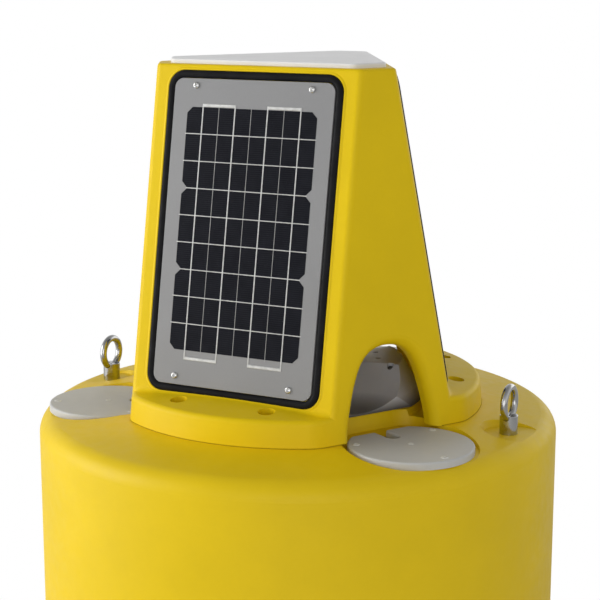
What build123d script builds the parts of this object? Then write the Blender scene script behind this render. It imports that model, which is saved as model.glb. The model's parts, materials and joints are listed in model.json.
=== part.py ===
"""Data buoy: a round foam-filled hull with a three-sided tower that carries solar plates.

Millimetres, +Z up, origin at the centre of the hull's flat bottom. The front solar plate
faces -Y. An azimuth is counted in degrees from -Y toward +X, as seen from above.
"""

import os
from math import atan, cos, degrees, hypot, pi, radians, sin, tan

from build123d import *

os.makedirs("parts", exist_ok=True)

# Pieces that repeat round the axis: name and azimuth
plates = [("front", 0.0), ("right", 120.0), ("left", 240.0)]
ports = [("right", 60.0), ("back", 180.0), ("left", 300.0)]
eyes = [("right", 90.0), ("left", 270.0)]

# Hull
hull_r = 400.0
deck_z = 453.0
deck_flat_r = 287.0
deck_fall = 8.0
rim_round = 28.0
bottom_inset = 34.0
bottom_bevel_h = 62.0
bottom_round = 30.0
plinth_r = 197.0
plinth_h = 9.0
plinth_draft = 4.0

# Ports through the hull
port_distance = 295.0
port_floor_z = 439.0
port_gap = 6.0
port_inner_distance = 179.5
port_inner_half = 84.0
port_inner_round = 30.0
port_flare = 15.0
tube_r = 57.0
tube_wall = 5.5

# Port covers
cover_r = 90.5
cover_t = 11.0
cover_round = 3.0
cover_flat = 75.5
cover_corner_r = 4.0
slot_w = 18.5
slot_reach = 41.0

# Lifting eyes on the deck and mooring eyes in the bottom
eye_inset = 52.4
eye_seat_depth = 5.2832
eye_seat_r = 42.0
eye_seat_shift = 6.0
eye_seat_flare = 25.0
eye_boss_r = 13.5
eye_boss_h = 28.0
eye_boss_round = 1.0
eye_ring_h = 46.0
eye_ring_r = 23.0
eye_stock_r = 5.5
mooring_inset = 92.0
pocket_w = 62.0
pocket_l = 84.0
pocket_depth = 80.0
pocket_round = 14.0

# Tower
tower_top_z = 971.0
face_foot = 222.2
face_top = 130.0
side_foot = 255.1
side_top = 208.5
face_wall = 12.0
side_wall = 27.0
roof_wall = 14.0
upright_round = 11.0
top_round = 5.0

# Bolting flange of the tower
flange_reach = 30.4
flange_h = 37.8
flange_fall = 8.0
flange_corner_round = 50.0
flange_round = 8.0

# Bolts of the flange
bolt_x = 72.3
bolt_y = 237.5
bolt_r = 5.0
bolt_hole_clear = 0.5
bolt_head_r = 8.5
bolt_head_h = 6.5
counterbore_r = 12.5
counterbore_floor_h = 24.0

# Arch through each side face, with its outline up one side as shares of half width and height
arch_margin = 35.3
arch_h = 127.3
arch_shares = [(1.0, 0.0), (0.91, 0.34), (0.69, 0.74), (0.0, 1.0)]
arch_start = 130.0
arch_round = 16.0

# Solar plates in their rubber frames
plate_top_drop = 16.7
plate_margin = 71.0
plate_w = 260.0
plate_t = 6.4
plate_corner_r = 14.0
plate_edge_round = 0.8
frame_band = 11.0
frame_t = 5.3
frame_gap = 0.8
frame_edge_round = 1.5
seat_depth = 3.0
seat_gap = 2.2

# Lid on top of the tower
top_lid_face_inset = 12.0
top_lid_side_inset = 19.5
top_lid_t = 7.0
top_lid_corner_r = 12.0
top_lid_round = 2.5

# Lid of the data well, under the tower; each hole by its distance and its turn from a plate
well_lid_h = 55.0
well_foot_inset = 2.0
well_side_lean = 32.0
well_chord_gap = 1.3
well_edge_round = 3.0
scoop_distance = 165.0
scoop_rim_r = 104.0
scoop_floor_h = 2.5
lid_hole_r = 5.0
lid_hole_depth = 8.0
lid_holes = [(124.5, 9.0), (150.0, 22.5)]

# Worked-out sizes
flange_r = side_foot + flange_reach
plate_h = tower_top_z - deck_z - plate_margin
plate_mid_z = tower_top_z - plate_top_drop - plate_h / 2
face_tilt = degrees(atan((face_foot - face_top) / (tower_top_z - deck_z)))
side_tilt = degrees(atan((side_foot - side_top) / (tower_top_z - deck_z)))
bottom_r = hull_r - bottom_inset
rim_z = deck_z - (hull_r - deck_flat_r) * tan(radians(deck_fall))
eye_distance = hull_r - eye_inset
eye_seat_z = deck_z - (eye_distance - deck_flat_r) * tan(radians(deck_fall)) - eye_seat_depth
mooring_distance = hull_r - mooring_inset
plinth_z = deck_z + plinth_h
flange_edge_z = deck_z + flange_h
flange_slope = tan(radians(flange_fall))
bolt_head_z = deck_z + counterbore_floor_h
side_half = (face_foot - side_foot * cos(pi / 3)) / sin(pi / 3)
arch_half = side_half - arch_margin
arch_top_z = deck_z + arch_h
frame_w = plate_w + 2 * (frame_gap + frame_band)
frame_h = plate_h + 2 * (frame_gap + frame_band)
frame_corner_r = plate_corner_r + frame_gap + frame_band
port_recess_h = plinth_z - port_floor_z
port_edge_distance = port_inner_distance - port_recess_h * tan(radians(port_flare))
well_lid_z = plinth_z + well_lid_h
well_foot_r = plinth_r - well_foot_inset
well_lid_r = well_foot_r - well_side_lean
well_chord = port_edge_distance - well_chord_gap
scoop_depth = well_lid_h - scoop_floor_h
scoop_r = (scoop_rim_r**2 + scoop_depth**2) / (2 * scoop_depth)
from_below = (Align.CENTER, Align.CENTER, Align.MIN)


def outward(azimuth):
    """Level direction that points away from the axis."""
    return Vector(sin(radians(azimuth)), -cos(radians(azimuth)), 0)


def across(azimuth):
    """Level direction square to outward."""
    return Vector(cos(radians(azimuth)), sin(radians(azimuth)), 0)


def place(azimuth, distance, z, shift=0.0):
    """Point at a distance from the axis, shifted across."""
    return outward(azimuth) * distance + across(azimuth) * shift + Vector(0, 0, z)


def level_plane(azimuth, distance, z, way=1):
    """Level plane that looks up, or down for way -1, with its x axis outward."""
    return Plane(origin=place(azimuth, distance, z), x_dir=outward(azimuth), z_dir=(0, 0, way))


def axis_distance(edge):
    """Distance from the axis to the middle of an edge."""
    return hypot(edge.center().X, edge.center().Y)


def face_distance(z):
    """Distance from the axis to a plate face of the tower at height z."""
    return face_foot - (z - deck_z) * tan(radians(face_tilt))


def side_distance(z, inset=0.0):
    """Distance from the axis to a side face of the tower at height z, less an inset."""
    return side_foot - (z - deck_z) * tan(radians(side_tilt)) - inset


def leaning_plane(azimuth, distance, tilt):
    """Plane through the deck at a distance from the axis that leans toward the axis."""
    normal = outward(azimuth) * cos(radians(tilt)) + Vector(0, 0, sin(radians(tilt)))
    return Plane(origin=place(azimuth, distance, deck_z), x_dir=across(azimuth), z_dir=normal)


def frustum(top_z, face_inset=0.0, side_inset=0.0):
    """Six-sided body of the tower from the deck to a height, or its hollow with insets."""
    with BuildPart(Plane.XY.offset(deck_z)) as body:
        Cylinder(2 * flange_r, top_z - deck_z, align=from_below)
        for _, azimuth in plates:
            split(bisect_by=leaning_plane(azimuth, face_foot - face_inset, face_tilt), keep=Keep.BOTTOM)
        for _, azimuth in ports:
            split(bisect_by=leaning_plane(azimuth, side_foot - side_inset, side_tilt), keep=Keep.BOTTOM)
    return body.part


def plan(face, side):
    """Six corners of the tower's plan, from the distances of its faces."""
    half = (side - face * cos(pi / 3)) / sin(pi / 3)
    corners = []
    for _, azimuth in plates:
        corners += [place(azimuth, face, 0, shift) for shift in (-half, half)]
    return [(corner.X, corner.Y) for corner in corners]


def side_triangle(side):
    """Three corners where the side faces would meet."""
    corners = [place(azimuth, 2 * side, 0) for _, azimuth in plates]
    return [(corner.X, corner.Y) for corner in corners]


def plate_plane(azimuth, lift=0.0):
    """Plane on a plate face at the middle of the solar plate, looking outward."""
    tilt = radians(face_tilt)
    normal = outward(azimuth) * cos(tilt) + Vector(0, 0, sin(tilt))
    middle = place(azimuth, face_distance(plate_mid_z), plate_mid_z)
    return Plane(origin=middle + normal * lift, x_dir=across(azimuth), z_dir=normal)


def front_edges(piece, plane):
    """Edges of the face that lies farthest out along the plane's normal."""
    return piece.faces().sort_by(lambda f: (f.center() - plane.origin).dot(plane.z_dir))[-1].edges()


def bolt_places(z):
    """Points of the flange bolts at height z."""
    return [tuple(place(a, bolt_y, z, shift)) for _, a in plates for shift in (-bolt_x, bolt_x)]


def lid_hole_places():
    """Points of the holes in the top of the data well's lid."""
    places = []
    for distance, turn in lid_holes:
        for _, azimuth in plates:
            places += [place(azimuth + way * turn, distance, well_lid_z) for way in (-1, 1)]
    return [tuple(point) for point in places]


# Hull
with BuildPart() as hull:
    with BuildSketch(Plane.XZ) as section:
        with BuildLine():
            Polyline(
                (0, 0),
                (bottom_r, 0),
                (hull_r, bottom_bevel_h),
                (hull_r, rim_z),
                (deck_flat_r, deck_z),
                (plinth_r + plinth_draft, deck_z),
                (plinth_r, plinth_z),
                (0, plinth_z),
                close=True,
            )
        make_face()
        wall_ends = section.vertices().group_by(Axis.X)[-1].sort_by(Axis.Y)
        fillet(wall_ends[-1], rim_round)
        fillet(wall_ends[0], bottom_round)
        fillet(section.vertices().group_by(Axis.Y)[0].sort_by(Axis.X)[-1], bottom_round)
    revolve(axis=Axis.Z)
    # Flared recess round each port cover, which runs out at the rim, and the bore under it
    for _, azimuth in ports:
        with BuildSketch(level_plane(azimuth, port_distance, port_floor_z)):
            Circle(cover_r + port_gap)
            reach = port_distance - port_inner_distance
            with Locations((-reach / 2, 0)):
                RectangleRounded(reach, 2 * port_inner_half, port_inner_round)
        extrude(amount=port_recess_h, taper=-port_flare, mode=Mode.SUBTRACT)
        with BuildSketch(level_plane(azimuth, port_distance, 0)):
            Circle(tube_r)
        extrude(amount=port_floor_z, mode=Mode.SUBTRACT)
    # Flat seat under each lifting eye and pocket round each mooring eye
    for _, azimuth in eyes:
        with BuildSketch(level_plane(azimuth, eye_distance + eye_seat_shift, eye_seat_z)):
            Circle(eye_seat_r)
        extrude(amount=plinth_z - eye_seat_z, taper=-eye_seat_flare, mode=Mode.SUBTRACT)
        with BuildSketch(level_plane(azimuth, mooring_distance, 0)):
            RectangleRounded(pocket_w, pocket_l, pocket_round)
        extrude(amount=pocket_depth, mode=Mode.SUBTRACT)

# Bolting flange, flush with the side faces of the tower
with BuildPart() as flange:
    with BuildSketch(Plane.XY.offset(deck_z)) as foot:
        Circle(flange_r)
        Polygon(*side_triangle(side_foot), align=None, mode=Mode.INTERSECT)
        fillet(foot.vertices(), flange_corner_round)
    extrude(amount=2 * flange_h, taper=side_tilt)
    # Top that falls outward like the deck
    with BuildSketch(Plane.XZ):
        with BuildLine():
            Polyline(
                (0, flange_edge_z + flange_r * flange_slope),
                (2 * flange_r, flange_edge_z - flange_r * flange_slope),
                (2 * flange_r, flange_edge_z + 3 * flange_h),
                (0, flange_edge_z + 3 * flange_h),
                close=True,
            )
        make_face()
    revolve(axis=Axis.Z, mode=Mode.SUBTRACT)
    rims = flange.edges().filter_by(lambda e: e.center().Z > flange_edge_z - flange_round)
    fillet(rims, flange_round)

# Tower, in one moulding with its flange
with BuildPart() as tower:
    add(frustum(tower_top_z))
    fillet(tower.edges().filter_by(lambda e: e.length > tower_top_z - deck_z), upright_round)
    fillet(tower.faces().sort_by(Axis.Z)[-1].edges(), top_round)
    add(flange.part)
    # Hollow inside, open below
    add(frustum(tower_top_z - roof_wall, face_wall, side_wall), mode=Mode.SUBTRACT)
    # Shallow seat for each plate frame, which also clears the flange
    for _, azimuth in plates:
        with BuildSketch(plate_plane(azimuth, -seat_depth)):
            RectangleRounded(
                frame_w + 2 * seat_gap, frame_h + 2 * seat_gap, frame_corner_r + seat_gap
            )
        extrude(amount=frame_t + seat_gap, mode=Mode.SUBTRACT)
    # Arch through each side face
    for _, azimuth in ports:
        start = place(azimuth, arch_start, deck_z)
        with BuildSketch(Plane(origin=start, x_dir=across(azimuth), z_dir=outward(azimuth))):
            with BuildLine():
                upward = [(x * arch_half, y * arch_h) for x, y in arch_shares]
                flank = Spline(*upward, tangents=((0, 1), (-1, 0)))
                mirror(flank, about=Plane.YZ)
                Line((-arch_half, 0), (arch_half, 0))
            make_face()
        extrude(amount=side_foot, mode=Mode.SUBTRACT)
    mouths = tower.edges().filter_by(
        lambda e: e.length > 2 * arch_h
        and abs(e.center().Z - arch_top_z) < flange_round
        and axis_distance(e) > side_distance(arch_top_z, side_wall / 2)
    )
    fillet(mouths, arch_round)
    # Bolt holes in the flange, sunk for the heads
    with Locations(bolt_places(deck_z)):
        Cylinder(bolt_r + bolt_hole_clear, 2 * flange_h, align=from_below, mode=Mode.SUBTRACT)
    with Locations(bolt_places(bolt_head_z)):
        Cylinder(counterbore_r, 2 * flange_h, align=from_below, mode=Mode.SUBTRACT)

# Bolts of the flange
with BuildPart() as tower_bolts:
    with Locations(bolt_places(deck_z)):
        Cylinder(bolt_r, counterbore_floor_h, align=from_below)
    with Locations(bolt_places(bolt_head_z)):
        Cylinder(bolt_head_r, bolt_head_h, align=from_below)

# Lid of the data well, scooped out in front of each port
with BuildPart() as well_lid:
    with BuildSketch(Plane.XZ):
        with BuildLine():
            Polyline(
                (0, plinth_z),
                (well_foot_r, plinth_z),
                (well_lid_r, well_lid_z),
                (0, well_lid_z),
                close=True,
            )
        make_face()
    revolve(axis=Axis.Z)
    scoop_z = plinth_z + scoop_floor_h + scoop_r
    with Locations([tuple(place(azimuth, scoop_distance, scoop_z)) for _, azimuth in ports]):
        Sphere(scoop_r, mode=Mode.SUBTRACT)
    fillet(well_lid.faces().sort_by(Axis.Z)[-1].edges(), well_edge_round)
    # Straight edge along the recess of each port
    for _, azimuth in ports:
        with BuildSketch(level_plane(azimuth, well_chord + plinth_r, plinth_z)):
            Rectangle(2 * plinth_r, 2 * plinth_r)
        extrude(amount=well_lid_h, mode=Mode.SUBTRACT)
    with Locations(lid_hole_places()):
        Cylinder(lid_hole_r, 2 * lid_hole_depth, mode=Mode.SUBTRACT)

# Lid on top of the tower
with BuildPart() as top_lid:
    with BuildSketch(Plane.XY.offset(tower_top_z)) as outline:
        Polygon(*plan(face_top - top_lid_face_inset, side_top - top_lid_side_inset), align=None)
        fillet(outline.vertices(), top_lid_corner_r)
    extrude(amount=top_lid_t)
    fillet(top_lid.faces().sort_by(Axis.Z)[-1].edges(), top_lid_round)

# Tubes through the hull under the port covers
with BuildPart() as pass_tubes:
    for _, azimuth in ports:
        with BuildSketch(level_plane(azimuth, port_distance, 0)):
            Circle(tube_r)
            Circle(tube_r - tube_wall, mode=Mode.SUBTRACT)
        extrude(amount=port_floor_z)

named = [
    ("hull", hull),
    ("tower", tower),
    ("tower_bolts", tower_bolts),
    ("well_lid", well_lid),
    ("top_lid", top_lid),
    ("pass_tubes", pass_tubes),
]

# Solar plates and their rubber frames
for side, azimuth in plates:
    back = plate_plane(azimuth, -seat_depth)
    with BuildPart() as solar_plate:
        with BuildSketch(back):
            RectangleRounded(plate_w, plate_h, plate_corner_r)
        extrude(amount=plate_t)
        fillet(front_edges(solar_plate, back), plate_edge_round)
    with BuildPart() as plate_frame:
        with BuildSketch(back):
            RectangleRounded(frame_w, frame_h, frame_corner_r)
            RectangleRounded(
                plate_w + 2 * frame_gap,
                plate_h + 2 * frame_gap,
                plate_corner_r + frame_gap,
                mode=Mode.SUBTRACT,
            )
        extrude(amount=frame_t)
        fillet(front_edges(plate_frame, back), frame_edge_round)
    named += [("solar_plate_" + side, solar_plate), ("plate_frame_" + side, plate_frame)]

# Port covers, cut straight toward the tower with a slot for a cable
for side, azimuth in ports:
    with BuildPart() as port_cover:
        with BuildSketch(level_plane(azimuth, port_distance, port_floor_z)) as outline:
            Circle(cover_r)
            with Locations((-cover_flat - cover_r, 0)):
                Rectangle(2 * cover_r, 2 * cover_r, mode=Mode.SUBTRACT)
            with Locations((-cover_flat, 0)):
                SlotOverall(2 * slot_reach, slot_w, mode=Mode.SUBTRACT)
            fillet(outline.vertices().group_by(Axis.X)[0], cover_corner_r)
        extrude(amount=cover_t)
        fillet(port_cover.faces().sort_by(Axis.Z)[-1].edges(), cover_round)
    named.append(("port_cover_" + side, port_cover))

# Eyes: kind, distance from the axis, height of the seat and way up
eye_kinds = [
    ("lifting", eye_distance, eye_seat_z, 1),
    ("mooring", mooring_distance, pocket_depth, -1),
]
for kind, distance, seat_z, way in eye_kinds:
    for side, azimuth in eyes:
        with BuildPart(level_plane(azimuth, distance, seat_z, way)) as eye:
            Cylinder(eye_boss_r, eye_boss_h, align=from_below)
            free_end = eye.faces().sort_by(Axis((0, 0, 0), (0, 0, way)))[-1]
            fillet(free_end.edges(), eye_boss_round)
            with Locations((0, 0, eye_ring_h)):
                Torus(eye_ring_r, eye_stock_r, rotation=(0, 90, 0))
        named.append((kind + "_eye_" + side, eye))

# Names and files
for name, piece in named:
    piece.part.label = name
    export_step(piece.part, "parts/" + name + ".step")
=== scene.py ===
"""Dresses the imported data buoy: materials, solar cells, small screws, studio and camera."""

import json
from math import acos, atan, cos, hypot, pi, radians, sin, sqrt, tan

import bpy
from mathutils import Matrix, Vector


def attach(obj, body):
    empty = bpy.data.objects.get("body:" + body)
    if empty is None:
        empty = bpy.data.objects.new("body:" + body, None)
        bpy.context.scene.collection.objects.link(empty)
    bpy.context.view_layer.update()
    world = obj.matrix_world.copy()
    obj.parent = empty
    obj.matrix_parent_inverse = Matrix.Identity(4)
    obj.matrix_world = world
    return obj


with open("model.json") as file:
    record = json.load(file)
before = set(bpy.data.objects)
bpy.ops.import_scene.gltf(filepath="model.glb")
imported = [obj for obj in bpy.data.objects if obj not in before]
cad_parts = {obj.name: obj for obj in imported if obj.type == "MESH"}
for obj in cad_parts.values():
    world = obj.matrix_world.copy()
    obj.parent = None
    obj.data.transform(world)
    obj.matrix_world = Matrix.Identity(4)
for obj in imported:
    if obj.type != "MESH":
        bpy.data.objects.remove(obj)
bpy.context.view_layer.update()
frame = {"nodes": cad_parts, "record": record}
nodes = frame["nodes"]

# Azimuths in degrees from -Y toward +X
plates = [("front", 0.0), ("right", 120.0), ("left", 240.0)]
ports = [("right", 60.0), ("back", 180.0), ("left", 300.0)]

# Sizes that follow the CAD, in metres
deck_z = 0.453
tower_top_z = 0.971
face_foot = 0.2222
face_top = 0.1300
side_foot = 0.2551
side_top = 0.2085
upright_round = 0.011
flange_r = 0.2855
flange_edge_z = deck_z + 0.0378
flange_fall = 8.0
flange_slope = tan(radians(flange_fall))
flange_round = 0.008
flange_corner_r = 0.050
arch_half = 0.074
frame_half = (0.1418, 0.2353)
frame_corner_r = 0.0258
frame_band = 0.011
frame_front = 0.0023
face_tilt = atan((face_foot - face_top) / (tower_top_z - deck_z))
plate_mid_z = 0.7308
plate_front = 0.0034
cover_top = 0.450
port_distance = 0.295
cover_r = 0.0905
well_lid_z = 0.517

# Cells on each plate
columns = 4
rows = 9
column_pitch = 0.0531
row_pitch = 0.0395
column_gap = 0.0010
row_gap = 0.0014
cell_chamfer = 0.0085
cell_shift = (-0.0002, 0.0048)
bar_w = 0.0019
bridge_h = 0.0046
bar_tail = 0.0132
line_overhang = 0.0010
seam_overhang = 0.0022

# Heights over the plate's front; each slab starts a little under it
slab_foot = -0.0002
cell_top = 0.00035
cell_lip = 0.00012
seam_top = 0.0003
line_top = 0.0005
bar_top = 0.00075
bridge_top = 0.0009

# Screws: radius and height of each head, and where they stand
plate_screw_head = (0.0050, 0.0032)
plate_screw_spots = [(-0.0938, 0.2132), (0.0942, 0.2132), (-0.0938, -0.2107), (0.0942, -0.2107)]
cover_screw_head = (0.0058, 0.0014)
cover_middle_head = (0.0048, 0.0012)
cover_screw_ring = 0.86 * cover_r
cover_screw_sink = 0.0006
lid_screw_head = (0.0046, 0.0040)
lid_screw_places = [(0.1245, -9.0), (0.1245, 9.0), (0.150, -22.5), (0.150, 22.5)]
lid_screw_sink = 0.0082

# Rounded back of the rubber: its height, how far its foot is sunk, and its share of the band
crown_h = 0.0031
crown_sink = 0.0014
crown_inset = 0.0002
crown_share = 0.96
crown_steps = 12

# Foot of the tower: hollow round on the flange, with its edges sunk and tucked in, and the painted shade
# line under the flange
foot_round_r = 0.010
foot_edge_sink = 0.00015
foot_edge_tuck = 0.0006
foot_stations = 30
foot_corner_stations = 15
foot_corner_step = 2.6
side_lean = 0.09
shade_line_end_gap = 0.012
shade_line_arc_stations = 20
shade_line_corner_stations = 12

# Studio floor: half size, drop under the hull, and where it fades to white
floor_reach = 90.0
floor_drop = 0.0005
floor_fade = (0.40, 0.53)


# Where a noise's lowest and highest values are taken
noise_range = (0.3, 0.7)


def scaled(base, factor):
    """A colour made lighter or darker."""
    return tuple(min(1.0, c * factor) for c in base[:3]) + (1.0,)


class Graph:
    """A material's node tree with short helpers."""

    def __init__(self, name):
        self.material = bpy.data.materials.new(name)
        self.material.use_nodes = True
        self.tree = self.material.node_tree
        self.shader = self.tree.nodes["Principled BSDF"]

    def node(self, kind, **values):
        made = self.tree.nodes.new(kind)
        for key, value in values.items():
            setattr(made, key, value)
        return made

    def link(self, source, target):
        self.tree.links.new(source, target)

    def place(self, uv=None):
        if uv:
            return self.node("ShaderNodeUVMap", uv_map=uv).outputs["UV"]
        return self.node("ShaderNodeTexCoord").outputs["Object"]

    def noise(self, scale, detail=3.0, rough=0.55, uv=None):
        made = self.node("ShaderNodeTexNoise")
        made.inputs["Scale"].default_value = scale
        made.inputs["Detail"].default_value = detail
        made.inputs["Roughness"].default_value = rough
        self.link(self.place(uv), made.inputs["Vector"])
        return made.outputs["Fac"]

    def span(self, source, low, high, from_range=noise_range):
        made = self.node("ShaderNodeMapRange")
        made.inputs["From Min"].default_value = from_range[0]
        made.inputs["From Max"].default_value = from_range[1]
        made.inputs["To Min"].default_value = low
        made.inputs["To Max"].default_value = high
        self.link(source, made.inputs["Value"])
        return made.outputs["Result"]

    def ramp(self, source, first, second):
        made = self.node("ShaderNodeValToRGB")
        for stop, position, tint in zip(made.color_ramp.elements, noise_range, (first, second)):
            stop.position = position
            stop.color = tint
        self.link(source, made.inputs["Fac"])
        return made.outputs["Color"]

    def mix(self, share, first, second):
        made = self.node("ShaderNodeMix", data_type="RGBA")
        values = (share, first, second)
        for socket, value in zip((made.inputs[0], made.inputs[6], made.inputs[7]), values):
            if isinstance(value, bpy.types.NodeSocket):
                self.link(value, socket)
            else:
                socket.default_value = value
        return made.outputs[2]

    def bump(self, height, distance, strength, below=None):
        made = self.node("ShaderNodeBump")
        made.inputs["Strength"].default_value = strength
        made.inputs["Distance"].default_value = distance
        self.link(height, made.inputs["Height"])
        if below:
            self.link(below, made.inputs["Normal"])
        return made.outputs["Normal"]

    def finish(self, base, rough, normal=None, **fixed):
        inputs = self.shader.inputs
        self.link(base, inputs["Base Color"])
        self.link(rough, inputs["Roughness"])
        if normal:
            self.link(normal, inputs["Normal"])
        for key, value in fixed.items():
            inputs[key.replace("_", " ").title().replace("Ior", "IOR")].default_value = value
        return self.material


def moulded(name, base, rough=(0.36, 0.48), grain=900.0, depth=0.00012, shine=0.5, lid_foot_shade=None):
    """Moulded plastic: fine orange peel over slow waves, with faint mottling.

    Lid foot shade, if given, is a pair of heights for painted shade: dark at the lower one, gone at the
    upper one.
    """
    graph = Graph(name)
    mottle = graph.noise(7.0, 4.0)
    speck = graph.noise(170.0, 2.0)
    tint = graph.ramp(mottle, scaled(base, 0.955), scaled(base, 1.035))
    tint = graph.mix(graph.span(speck, 0.0, 0.05), tint, scaled(base, 0.80))
    # Painted shade: the colour darkens towards the foot, below the upper height
    if lid_foot_shade:
        parts = graph.node("ShaderNodeSeparateXYZ")
        graph.link(graph.place(), parts.inputs[0])
        tint = graph.mix(graph.span(parts.outputs["Z"], 1.0, 0.0, lid_foot_shade), tint, scaled(base, 0.16))
    waves = graph.bump(graph.noise(14.0, 1.0), 0.0012, 0.25)
    peel = graph.bump(graph.noise(grain, 2.0), depth, 0.35, waves)
    sheen = graph.span(graph.noise(60.0, 3.0), *rough)
    return graph.finish(tint, sheen, peel, specular_ior_level=shine)


def metal(name, base, rough, scale=400.0):
    """Bright metal with fine polished marks."""
    graph = Graph(name)
    marks = graph.noise(scale, 3.0, 0.6)
    tint = graph.ramp(graph.noise(45.0, 3.0), scaled(base, 0.90), scaled(base, 1.05))
    normal = graph.bump(marks, 0.00004, 0.25)
    return graph.finish(tint, graph.span(marks, *rough), normal, metallic=1.0)


yellow = (0.86, 0.605, 0.004, 1.0)
lid_grey = (0.70, 0.73, 0.80, 1.0)
# Heights of the painted shade at the foot of the data well lid, inside the tower
well_lid_foot_shade = (0.463, 0.480)
skins = {
    "hull_yellow": moulded("hull_yellow_skin", yellow, (0.40, 0.52), 800.0, 0.00014, 0.25),
    "tower_yellow": moulded("tower_yellow_skin", yellow, (0.38, 0.49), 900.0, 0.00012, 0.16),
    "lid_grey": moulded("lid_grey_skin", lid_grey, (0.32, 0.42), 700.0, 0.00010, lid_foot_shade=well_lid_foot_shade),
    "top_white": moulded("top_white_skin", (0.91, 0.91, 0.915, 1), (0.30, 0.40), 900.0, 0.00010),
    "tube_grey": moulded("tube_grey_skin", (0.22, 0.22, 0.225, 1), (0.35, 0.50), 500.0, 0.00010),
    "cover_grey": moulded("cover_grey_skin", (0.58, 0.58, 0.56, 1), (0.45, 0.58), 700.0, 0.00020),
    "stainless": metal("stainless_polished", (0.47, 0.47, 0.465, 1), (0.10, 0.22)),
}


def plate_skin():
    """Coated backing plate of a solar plate: even grey with fine grain and a soft sheen."""
    graph = Graph("plate_grey_skin")
    base = (0.270, 0.270, 0.273, 1)
    tint = graph.ramp(graph.noise(9.0, 4.0), scaled(base, 0.96), scaled(base, 1.04))
    tint = graph.mix(graph.span(graph.noise(420.0, 2.0), 0.0, 0.10), tint, scaled(base, 0.72))
    normal = graph.bump(graph.noise(1300.0, 2.0), 0.00006, 0.4)
    return graph.finish(tint, graph.span(graph.noise(80.0, 2.0), 0.34, 0.44), normal)


def rubber_skin():
    """Extruded black rubber: matte, with fine pores and slow unevenness."""
    graph = Graph("frame_rubber_skin")
    base = (0.0090, 0.0090, 0.0100, 1)
    tint = graph.ramp(graph.noise(30.0, 4.0), scaled(base, 0.75), scaled(base, 1.5))
    waves = graph.bump(graph.noise(35.0, 2.0), 0.0006, 0.3)
    normal = graph.bump(graph.noise(1500.0, 2.0), 0.00012, 0.5, waves)
    rough = graph.span(graph.noise(90.0, 3.0), 0.42, 0.60)
    return graph.finish(tint, rough, normal, specular_ior_level=0.08)


skins["plate_grey"] = plate_skin()
skins["frame_rubber"] = rubber_skin()
for entry in frame["record"]["subparts"]:
    node = nodes[entry["node"]]
    node.data.materials.clear()
    node.data.materials.append(skins[entry["material_slot"]])


def cell_skin():
    """Silicon under clear film: dark blue black with printed fingers across each cell."""
    graph = Graph("cell_silicon")
    dark = (0.0065, 0.0070, 0.0108, 1)
    light = (0.0105, 0.0112, 0.016, 1)
    tone = graph.ramp(graph.noise(38.0, 3.0, uv="plate"), dark, light)
    wave = graph.node("ShaderNodeTexWave", wave_type="BANDS", bands_direction="Y")
    wave.inputs["Scale"].default_value = 105.0
    graph.link(graph.place("plate"), wave.inputs["Vector"])
    fingers = graph.span(wave.outputs["Fac"], 0.0, 0.14, (0.93, 1.0))
    tint = graph.mix(fingers, tone, (0.10, 0.103, 0.112, 1))
    film = graph.bump(graph.noise(26.0, 2.0, uv="plate"), 0.0006, 0.2)
    shine = graph.span(graph.noise(300.0, 2.0, uv="plate"), 0.18, 0.28)
    return graph.finish(tint, shine, film, specular_ior_level=0.08)


def ribbon_skin(name, base, rough):
    """Tinned ribbon with solder flow along it."""
    graph = Graph(name)
    flow = graph.noise(160.0, 3.0, uv="plate")
    tint = graph.ramp(flow, scaled(base, 0.86), scaled(base, 1.10))
    normal = graph.bump(graph.noise(700.0, 3.0, uv="plate"), 0.00008, 0.5)
    return graph.finish(tint, graph.span(flow, *rough), normal, metallic=0.35)


cell_mat = cell_skin()
bar_mat = ribbon_skin("cell_ribbon", (0.60, 0.60, 0.585, 1), (0.28, 0.42))
gap_mat = ribbon_skin("cell_gap_line", (0.36, 0.36, 0.35, 1), (0.35, 0.50))
screw_mat = metal("screw_steel", (0.66, 0.66, 0.65, 1), (0.16, 0.30), scale=900.0)
cover_screw_mat = moulded("cover_screw_grey", (0.70, 0.70, 0.67, 1), (0.24, 0.34), 1500.0, 0.00005)
# Steel darkened to a near black: painted shade of the holes the lid screws sit in
lid_screw_shaded_mat = metal("lid_screw_shaded_steel", (0.13, 0.13, 0.128, 1), (0.34, 0.50), scale=900.0)
# Dark yellow brown of the painted shade line under the tower's flange
flange_shade_line_mat = moulded("foot_joint_shade", (0.46, 0.30, 0.003, 1), (0.62, 0.78), 1200.0, 0.00008, 0.1)


def build(name, points, faces, material, body="buoy", uv=None, sharp=35.0):
    """One mesh piece that rides on a body; uv gives plate coordinates per point."""
    mesh = bpy.data.meshes.new(name)
    mesh.from_pydata(points, [], faces)
    mesh.polygons.foreach_set("use_smooth", [True] * len(mesh.polygons))
    mesh.set_sharp_from_angle(angle=radians(sharp))
    if uv:
        layer = mesh.uv_layers.new(name="plate")
        for loop in mesh.loops:
            layer.data[loop.index].uv = uv[loop.vertex_index]
    mesh.materials.append(material)
    piece = bpy.data.objects.new(name, mesh)
    bpy.context.collection.objects.link(piece)
    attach(piece, body)


def outward(azimuth):
    """Level direction that points away from the axis."""
    return Vector((sin(radians(azimuth)), -cos(radians(azimuth)), 0))


def across(azimuth):
    """Level direction to the right of outward, as seen from outside."""
    return Vector((cos(radians(azimuth)), sin(radians(azimuth)), 0))


def face_at(z):
    """Distance from the axis to a plate face of the tower at height z."""
    return face_foot - (z - deck_z) * tan(face_tilt)


def plate_matrix(azimuth):
    """Frame on the plate's front: x across, y up the slope, z out of the plate."""
    normal = outward(azimuth) * cos(face_tilt) + Vector((0, 0, sin(face_tilt)))
    slope = normal.cross(across(azimuth))
    middle = outward(azimuth) * face_at(plate_mid_z) + Vector((0, 0, plate_mid_z))
    rotation = Matrix((across(azimuth), slope, normal)).transposed().to_4x4()
    return Matrix.Translation(middle + normal * plate_front) @ rotation


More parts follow.
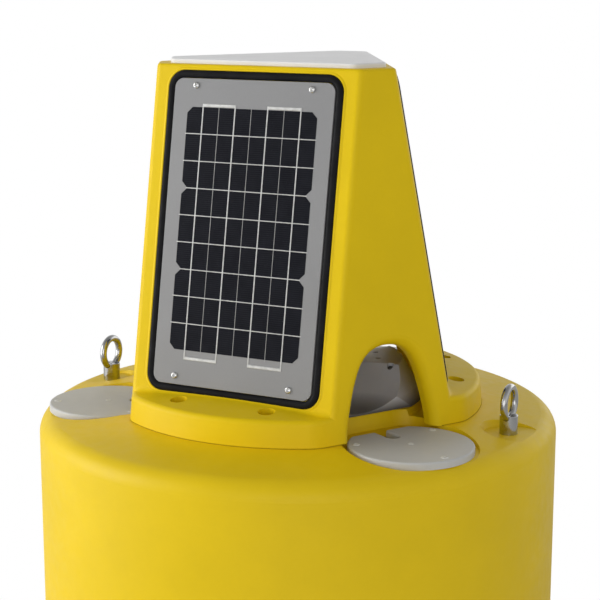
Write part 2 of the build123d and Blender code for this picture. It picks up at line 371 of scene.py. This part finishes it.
class Sheets:
    """Thin bevelled slabs on a plate, gathered into one mesh."""

    def __init__(self, matrix):
        self.matrix = matrix
        self.points = []
        self.faces = []
        self.uv = []

    def slab(self, outline, foot, top, lip):
        """A prism over a convex outline, its top edge drawn in by lip."""
        count = len(outline)
        xs = [x for x, _ in outline]
        ys = [y for _, y in outline]
        mid_x, half_x = (max(xs) + min(xs)) / 2, (max(xs) - min(xs)) / 2
        mid_y, half_y = (max(ys) + min(ys)) / 2, (max(ys) - min(ys)) / 2
        start = len(self.points)
        for inset, z in ((0.0, foot), (0.0, top - lip), (lip, top)):
            for x, y in outline:
                x += (mid_x - x) * inset / half_x
                y += (mid_y - y) * inset / half_y
                self.points.append(self.matrix @ Vector((x, y, z)))
                self.uv.append((x, y))
        for level in (0, 1):
            for i in range(count):
                j = (i + 1) % count
                low = start + level * count
                self.faces.append((low + i, low + j, low + count + j, low + count + i))
        self.faces.append(tuple(start + 2 * count + i for i in range(count)))

    def strip(self, x0, y0, x1, y1, foot, top):
        """A slab over a rectangle, its lip a share of its narrow side or of its height."""
        lip = min(min(x1 - x0, y1 - y0) * 0.18, (top - foot) * 0.6)
        self.slab([(x0, y0), (x1, y0), (x1, y1), (x0, y1)], foot, top, lip)


def cell_outline(column, row):
    """Outline of a cell, its outer corner cut where a wafer's corner was."""
    x0 = (column - columns / 2) * column_pitch + column_gap / 2 + cell_shift[0]
    x1 = x0 + column_pitch - column_gap
    y1 = (rows / 2 - row) * row_pitch - row_gap / 2 + cell_shift[1]
    y0 = y1 - row_pitch + row_gap
    cut = cell_chamfer
    left_top = column == 0 and row % 3 == 0
    left_low = column == 0 and row % 3 == 2
    right_top = column == columns - 1 and row % 3 == 0
    right_low = column == columns - 1 and row % 3 == 2
    outline = [(x0, y0 + cut), (x0 + cut, y0)] if left_low else [(x0, y0)]
    outline += [(x1 - cut, y0), (x1, y0 + cut)] if right_low else [(x1, y0)]
    outline += [(x1, y1 - cut), (x1 - cut, y1)] if right_top else [(x1, y1)]
    outline += [(x0 + cut, y1), (x0, y1 - cut)] if left_top else [(x0, y1)]
    return outline


array_w = columns * column_pitch
array_h = rows * row_pitch
for side, azimuth in plates:
    matrix = plate_matrix(azimuth)
    cells = Sheets(matrix)
    for row in range(rows):
        for column in range(columns):
            cells.slab(cell_outline(column, row), slab_foot, cell_top, cell_lip)
    build("cells_" + side, cells.points, cells.faces, cell_mat, uv=cells.uv, sharp=5.0)
    # Thin lines between the rows of cells, and the seams between the columns
    lines = Sheets(matrix)
    dx, dy = cell_shift
    for row in range(1, rows):
        y = (rows / 2 - row) * row_pitch + dy
        ends = array_w / 2 + line_overhang - (cell_chamfer if row % 3 == 0 else 0.0)
        lines.strip(dx - ends, y - row_gap / 2, dx + ends, y + row_gap / 2, slab_foot, line_top)
    build("cell_row_lines_" + side, lines.points, lines.faces, bar_mat, uv=lines.uv)
    seams = Sheets(matrix)
    for column in range(1, columns):
        x = (column - columns / 2) * column_pitch + dx
        low, high = dy - array_h / 2 - seam_overhang, dy + array_h / 2
        seams.strip(x - column_gap / 2, low, x + column_gap / 2, high, slab_foot, seam_top)
    build("cell_column_seams_" + side, seams.points, seams.faces, gap_mat, uv=seams.uv)
    # Busbars with the bridges that join them in pairs
    bars = Sheets(matrix)
    top = array_h / 2 + dy
    low = dy - array_h / 2 - bar_tail
    for column in range(columns):
        x = (column + 0.5 - columns / 2) * column_pitch + dx
        bars.strip(x - bar_w / 2, low, x + bar_w / 2, top + bridge_h, 0.0, bar_top)
    for column in (0, 2):
        x0 = (column + 0.5 - columns / 2) * column_pitch + dx - bar_w / 2
        x1 = x0 + column_pitch + bar_w
        for y in (top, low):
            bars.strip(x0, y, x1, y + bridge_h, slab_foot, bridge_top)
    build("cell_busbars_" + side, bars.points, bars.faces, bar_mat, uv=bars.uv)


def cross_r(angle, arm=0.60, width=0.20):
    """Radius share of a cross recess at an angle."""
    turn = (angle + pi / 4) % (pi / 2) - pi / 4
    return min(arm / cos(turn), width / max(abs(sin(turn)), 1e-6))


def screw(points, faces, matrix, head, turn, steps=48):
    """A pan head with a cross recess, added to points and faces; head is its radius and height."""
    radius, height = head
    # Each ring's share of the radius, share of the height, and whether it follows the cross
    rings = [(1.0, 0.0, 0), (1.0, 0.30, 0), (0.97, 0.52, 0), (0.88, 0.78, 0), (0.72, 0.95, 0)]
    rings += [(0.66, 1.0, 0), (1.0, 1.0, 1), (0.94, 0.94, 1), (0.72, 0.42, 1), (0.45, 0.30, 1)]
    start = len(points)
    for share, level, crossed in rings:
        for i in range(steps):
            angle = 2 * pi * i / steps
            r = radius * share * (cross_r(angle) if crossed else 1.0)
            spot = Vector((r * cos(angle + turn), r * sin(angle + turn), height * level))
            points.append(matrix @ spot)
    for level in range(len(rings) - 1):
        for i in range(steps):
            j = (i + 1) % steps
            low = start + level * steps
            faces.append((low + i, low + j, low + steps + j, low + steps + i))
    last = start + (len(rings) - 1) * steps
    faces.append(tuple(last + i for i in range(steps)))


def plan_point(azimuth, out, shift, z):
    """Point at a distance out and a shift across, on an azimuth."""
    return outward(azimuth) * out + across(azimuth) * shift + Vector((0, 0, z))


def bands(points, faces, sections, closed=False):
    """Skin of quads over a row of sections that have the same number of points."""
    start = len(points)
    count = len(sections[0])
    for section in sections:
        points.extend(section)
    for i in range(len(sections) if closed else len(sections) - 1):
        j = (i + 1) % len(sections)
        for k in range(count - 1):
            low, high = start + i * count + k, start + j * count + k
            faces.append((low, low + 1, high + 1, high))


def frame_path(steps=14):
    """Stations round a plate frame's outer edge: x and y of the point and of its outward direction."""
    stations = []
    for corner, (sx, sy) in enumerate(((1, 1), (-1, 1), (-1, -1), (1, -1))):
        cx = sx * (frame_half[0] - frame_corner_r)
        cy = sy * (frame_half[1] - frame_corner_r)
        for i in range(steps + 1):
            angle = pi / 2 * (corner + i / steps)
            way_x, way_y = cos(angle), sin(angle)
            stations.append((cx + frame_corner_r * way_x, cy + frame_corner_r * way_y, way_x, way_y))
    return stations


def frame_ring(name, profile, slot):
    """A ring round each plate; profile gives offsets from the frame's edge and heights."""
    for side, azimuth in plates:
        matrix = plate_matrix(azimuth) @ Matrix.Translation((0, 0, -plate_front))
        sections = [
            [matrix @ Vector((x + way_x * off, y + way_y * off, height)) for off, height in profile]
            for x, y, way_x, way_y in frame_path()
        ]
        points, faces = [], []
        bands(points, faces, sections, closed=True)
        build(name + side, points, faces, skins[slot], sharp=60.0)


# Moulded rim of the tower round each frame, and the rounded back of the rubber
rim_profile = [(0.0003, -0.0026), (0.0003, 0.0004), (0.0008, 0.0009), (0.0016, 0.0012), (0.0026, 0.0010)]
rim_profile += [(0.0036, 0.0005), (0.0044, 0.0001), (0.0050, -0.0002)]
frame_ring("frame_rim_", rim_profile, "tower_yellow")
crown_profile = []
for i in range(crown_steps + 1):
    share = i / crown_steps
    offset = -frame_band * (1 - share) * crown_share - crown_inset
    crown_profile.append((offset, frame_front - crown_sink + crown_h * sqrt(sin(pi * share) + 1e-9)))
frame_ring("frame_crown_", crown_profile, "frame_rubber")


def side_at(z):
    """Distance from the axis to a side face of the tower at height z."""
    return side_foot - (z - deck_z) * (side_foot - side_top) / (tower_top_z - deck_z)


def flange_top(out, shift):
    """Height of the flange's rounded top at a distance out on a plate's azimuth."""
    z = flange_edge_z + (flange_r - hypot(out, shift)) * flange_slope
    beside = side_at(z) - out * cos(pi / 3) - abs(shift) * sin(pi / 3)
    lack = min(max(flange_round - beside, 0.0), flange_round)
    return z - flange_round + sqrt(flange_round**2 - lack**2)


def foot_section(azimuth, along, turn, way, radius, steps=10):
    """Hollow round between the tower and its flange at one station.

    Along runs from the face's middle to its upright, turn goes round the upright, and way is the side.
    """
    way_out, way_across = cos(turn), sin(turn)
    tilt = face_tilt * (1 - turn / (pi / 3)) + side_lean * turn / (pi / 3)
    # The place where the tower's skin meets the top of the flange, closed in on from a guess
    z = flange_edge_z
    for _ in range(12):
        near = face_at(z) - upright_round
        middle = (side_at(z) - upright_round - near * cos(pi / 3)) / sin(pi / 3)
        foot_out = near + upright_round * way_out
        foot_across = middle * along + upright_round * way_across
        z = flange_top(foot_out, foot_across)
    reach = radius / tan((pi / 2 + tilt + radians(flange_fall)) / 2)
    beyond = flange_top(foot_out + reach * way_out, foot_across + reach * way_across)
    fall = atan((z - beyond) / reach)
    reach = radius / tan((pi / 2 + tilt + fall) / 2)
    centre_r = -reach * sin(tilt) + radius * cos(tilt)
    centre_z = z + reach * cos(tilt) + radius * sin(tilt)
    made = []
    for i in range(-1, steps + 2):
        share = min(max(i / steps, 0), 1)
        angle = tilt + (pi / 2 - fall - tilt) * share
        sunk = radius + (foot_edge_sink if i in (-1, steps + 1) else 0.0)
        r = centre_r - sunk * cos(angle)
        level = centre_z - sunk * sin(angle)
        if i == -1:
            r -= foot_edge_tuck * sin(tilt)
            level += foot_edge_tuck * cos(tilt)
        if i == steps + 1:
            r += foot_edge_tuck * cos(fall)
            level -= foot_edge_tuck * sin(fall)
        shift = way * (foot_across + r * way_across)
        made.append(plan_point(azimuth, foot_out + r * way_out, shift, level))
    return made


# Hollow rounds where the plate faces stand on the flange; they thin out round the uprights
for side, azimuth in plates:
    points, faces = [], []
    for way in (-1, 1):
        sections = []
        for i in range(foot_stations + 1):
            sections.append(foot_section(azimuth, i / foot_stations, 0.0, way, foot_round_r))
        for i in range(1, foot_corner_stations):
            turn = radians(foot_corner_step * i)
            radius = foot_round_r * (1 - (i / foot_corner_stations) ** 2)
            sections.append(foot_section(azimuth, 1.0, turn, way, radius))
        if way < 0:
            sections.reverse()
        bands(points, faces, sections)
    build("tower_foot_round_" + side, points, faces, skins["tower_yellow"], sharp=60.0)

# Painted shade: a thin dark strip under the flange, where its contact shadow falls, from one arch to the
# next
corner_turn = acos((side_foot - flange_corner_r) / (flange_r - flange_corner_r))
arc = pi / 3 - corner_turn
bend = flange_r - flange_corner_r
shade_line_profile = [(-0.001, 0.0), (0.0002, 0.0), (0.0005, 0.0004), (0.0003, 0.0010), (-0.001, 0.0013)]
for side, azimuth in plates:
    # Distance out, shift across, and the same two of the direction away from the flange
    path = []
    for i in range(2 * shade_line_arc_stations + 1):
        angle = arc * (i / shade_line_arc_stations - 1)
        path.append((flange_r * cos(angle), flange_r * sin(angle), cos(angle), sin(angle)))
    for way in (-1, 1):
        leg = []
        for i in range(1, shade_line_corner_stations + 1):
            angle = arc + corner_turn * i / shade_line_corner_stations
            out = bend * cos(arc) + flange_corner_r * cos(angle)
            shift = bend * sin(arc) + flange_corner_r * sin(angle)
            leg.append((out, way * shift, cos(angle), way * sin(angle)))
        run = bend * sin(corner_turn) - arch_half - shade_line_end_gap
        out, shift, normal_out, normal_shift = leg[-1]
        leg.append((out - run * sin(pi / 3), shift + way * run * cos(pi / 3), normal_out, normal_shift))
        path = leg[::-1] + path if way < 0 else path + leg
    sections = []
    for out, shift, normal_out, normal_shift in path:
        sections.append([
            plan_point(azimuth, out + normal_out * off, shift + normal_shift * off, deck_z + height)
            for off, height in shade_line_profile
        ])
    points, faces = [], []
    bands(points, faces, sections)
    build("tower_flange_shade_line_" + side, points, faces, flange_shade_line_mat, sharp=60.0)

# Screws in the corners of each plate
for side, azimuth in plates:
    points, faces = [], []
    for i, (x, y) in enumerate(plate_screw_spots):
        spot = plate_matrix(azimuth) @ Matrix.Translation((x, y, slab_foot))
        screw(points, faces, spot, plate_screw_head, 0.4 + 0.9 * i)
    build("plate_screws_" + side, points, faces, screw_mat)

# Screws of each port cover
for side, azimuth in ports:
    points, faces = [], []
    centre = outward(azimuth) * port_distance + Vector((0, 0, cover_top))
    sink = Vector((0, 0, cover_screw_sink))
    for i, around in enumerate((0.0, 120.0, 240.0)):
        spot = centre + outward(azimuth + around) * cover_screw_ring - sink
        screw(points, faces, Matrix.Translation(spot), cover_screw_head, 0.2 + 0.7 * i)
    screw(points, faces, Matrix.Translation(centre - sink), cover_middle_head, 0.9)
    build("cover_screws_" + side, points, faces, cover_screw_mat, body="cover_" + side)

# Screws of the data well lid, sunk in its holes; their steel is darkened as painted shade of the holes
points, faces = [], []
for _, azimuth in plates:
    for i, (distance, turn) in enumerate(lid_screw_places):
        spot = outward(azimuth + turn) * distance + Vector((0, 0, well_lid_z - lid_screw_sink))
        screw(points, faces, Matrix.Translation(spot), lid_screw_head, 0.5 + i)
build("well_lid_screws", points, faces, lid_screw_shaded_mat)

# Studio floor: pale with the buoy's soft shadow, and white to the camera farther out
floor_mesh = bpy.data.meshes.new("floor")
corners = [(x * floor_reach, y * floor_reach, 0) for x, y in ((-1, -1), (1, -1), (1, 1), (-1, 1))]
floor_mesh.from_pydata(corners, [], [(0, 1, 2, 3)])
floor = bpy.data.objects.new("floor", floor_mesh)
floor.location.z = -floor_drop
bpy.context.collection.objects.link(floor)
graph = Graph("floor_pale")
grain = graph.noise(40.0, 3.0)
pale = graph.ramp(grain, (0.80, 0.80, 0.80, 1), (0.84, 0.84, 0.84, 1))
graph.finish(pale, graph.span(grain, 0.7, 0.85))
away = graph.node("ShaderNodeVectorMath", operation="LENGTH")
graph.link(graph.place(), away.inputs[0])
fade = graph.span(away.outputs["Value"], 0.0, 1.0, floor_fade)
path = graph.node("ShaderNodeLightPath")
seen = graph.node("ShaderNodeMath", operation="MULTIPLY")
graph.link(fade, seen.inputs[0])
graph.link(path.outputs["Is Camera Ray"], seen.inputs[1])
glow = graph.node("ShaderNodeEmission")
glow.inputs["Color"].default_value = (1, 1, 1, 1)
both = graph.node("ShaderNodeMixShader")
graph.link(seen.outputs["Value"], both.inputs[0])
graph.link(graph.shader.outputs[0], both.inputs[1])
graph.link(glow.outputs[0], both.inputs[2])
out = next(n for n in graph.tree.nodes if n.type == "OUTPUT_MATERIAL")
graph.link(both.outputs[0], out.inputs["Surface"])
floor_mesh.materials.append(graph.material)

# World: a soft studio that darkens overhead, brighter in mirrors and glass, and white to the camera
world = bpy.data.worlds.new("studio")
bpy.context.scene.world = world
world.use_nodes = True
tree = world.node_tree
tree.nodes.clear()


def sky(level, zenith, reach=1.0):
    """Background shader that fades from the horizon's level to the zenith's at a height share."""
    spot = tree.nodes.new("ShaderNodeTexCoord")
    parts = tree.nodes.new("ShaderNodeSeparateXYZ")
    shade = tree.nodes.new("ShaderNodeMapRange")
    shade.inputs["From Min"].default_value = 0.0
    shade.inputs["From Max"].default_value = reach
    shade.inputs["To Min"].default_value = level
    shade.inputs["To Max"].default_value = zenith
    made = tree.nodes.new("ShaderNodeBackground")
    made.inputs["Color"].default_value = (1.0, 1.0, 1.0, 1)
    tree.links.new(spot.outputs["Generated"], parts.inputs[0])
    tree.links.new(parts.outputs["Z"], shade.inputs["Value"])
    tree.links.new(shade.outputs["Result"], made.inputs["Strength"])
    return made.outputs[0]


def either(first, second):
    """The greater of two sockets."""
    made = tree.nodes.new("ShaderNodeMath")
    made.operation = "MAXIMUM"
    tree.links.new(first, made.inputs[0])
    tree.links.new(second, made.inputs[1])
    return made.outputs[0]


def blend(share, first, second):
    """Two shaders mixed by a share."""
    made = tree.nodes.new("ShaderNodeMixShader")
    for socket, source in zip(made.inputs, (share, first, second)):
        tree.links.new(source, socket)
    return made.outputs[0]


path = tree.nodes.new("ShaderNodeLightPath")
white = tree.nodes.new("ShaderNodeBackground")
white.inputs["Color"].default_value = (1.0, 1.0, 1.0, 1)
mirrored = either(path.outputs["Is Glossy Ray"], path.outputs["Is Transmission Ray"])
lit = blend(mirrored, sky(0.70, 0.36, 0.8), sky(1.0, 0.30))
out = tree.nodes.new("ShaderNodeOutputWorld")
tree.links.new(blend(path.outputs["Is Camera Ray"], lit, white.outputs[0]), out.inputs["Surface"])


def lamp(name, azimuth, distance, height, size, power):
    """A soft area lamp out on an azimuth, aimed at the buoy."""
    data = bpy.data.lights.new(name, "AREA")
    data.shape = "RECTANGLE"
    data.size, data.size_y = size
    data.energy = power
    made = bpy.data.objects.new(name, data)
    made.location = outward(azimuth) * distance + Vector((0, 0, height))
    aim = Vector((0, 0, lamp_aim_z)) - made.location
    made.rotation_euler = aim.to_track_quat("-Z", "Y").to_euler()
    bpy.context.collection.objects.link(made)


lamp_aim_z = 0.55
# Name, azimuth, distance, height, size and watts of each lamp
lamps = [
    ("key", -58.0, 3.3, 1.10, (2.4, 2.4), 68.0),
    ("fill", 25.0, 3.6, 0.85, (2.4, 2.4), 20.0),
    ("back", 162.0, 3.2, 1.3, (2.4, 1.6), 10.0),
]
for values in lamps:
    lamp(*values)

# Camera at the photograph's place
camera_data = bpy.data.cameras.new("camera")
camera_data.lens = 96.39
camera_data.sensor_width = 36.0
camera_data.clip_end = 200.0
camera = bpy.data.objects.new("camera", camera_data)
camera.location = (1.111714, -2.159667, 1.110330)
camera_aim = Vector((0.002843, 0.001459, 0.605982))
camera.rotation_euler = (camera_aim - camera.location).to_track_quat("-Z", "Y").to_euler()
bpy.context.collection.objects.link(camera)
bpy.context.scene.camera = camera
bpy.context.scene.view_settings.view_transform = "Standard"
